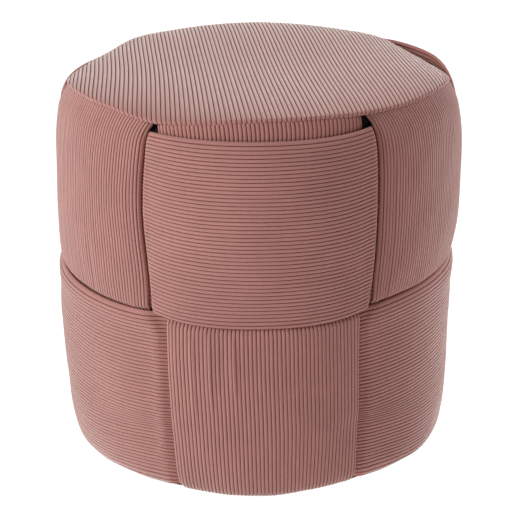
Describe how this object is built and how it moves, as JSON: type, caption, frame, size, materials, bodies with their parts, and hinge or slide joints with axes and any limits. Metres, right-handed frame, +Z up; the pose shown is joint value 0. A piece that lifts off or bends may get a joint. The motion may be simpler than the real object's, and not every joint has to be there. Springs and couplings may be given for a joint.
{
  "type": "round pouf",
  "caption": "Round upholstered pouf for sitting on or resting feet on, wrapped in a plain weave of wide corduroy straps and bands, with a corduroy top.",
  "frame": {"origin": "centre of the bounding box's bottom face, on the floor", "axes": "+Z up; the side seen in front faces -Y; +X is to the right of it"},
  "size_m": [0.4126, 0.4156, 0.3965],
  "materials": {
    "corduroy": "ribbed velvet, dusty pink",
    "black_cloth": "matte woven cloth"
  },
  "bodies": {
    "root": {"core": "black_cloth", "base_cloth": "black_cloth", "top_panel": "corduroy", "strap_1": "corduroy", "strap_2": "corduroy", "strap_3": "corduroy", "strap_4": "corduroy", "strap_5": "corduroy", "strap_6": "corduroy", "band_upper": "corduroy", "band_lower": "corduroy"}
  },
  "joints": []
}
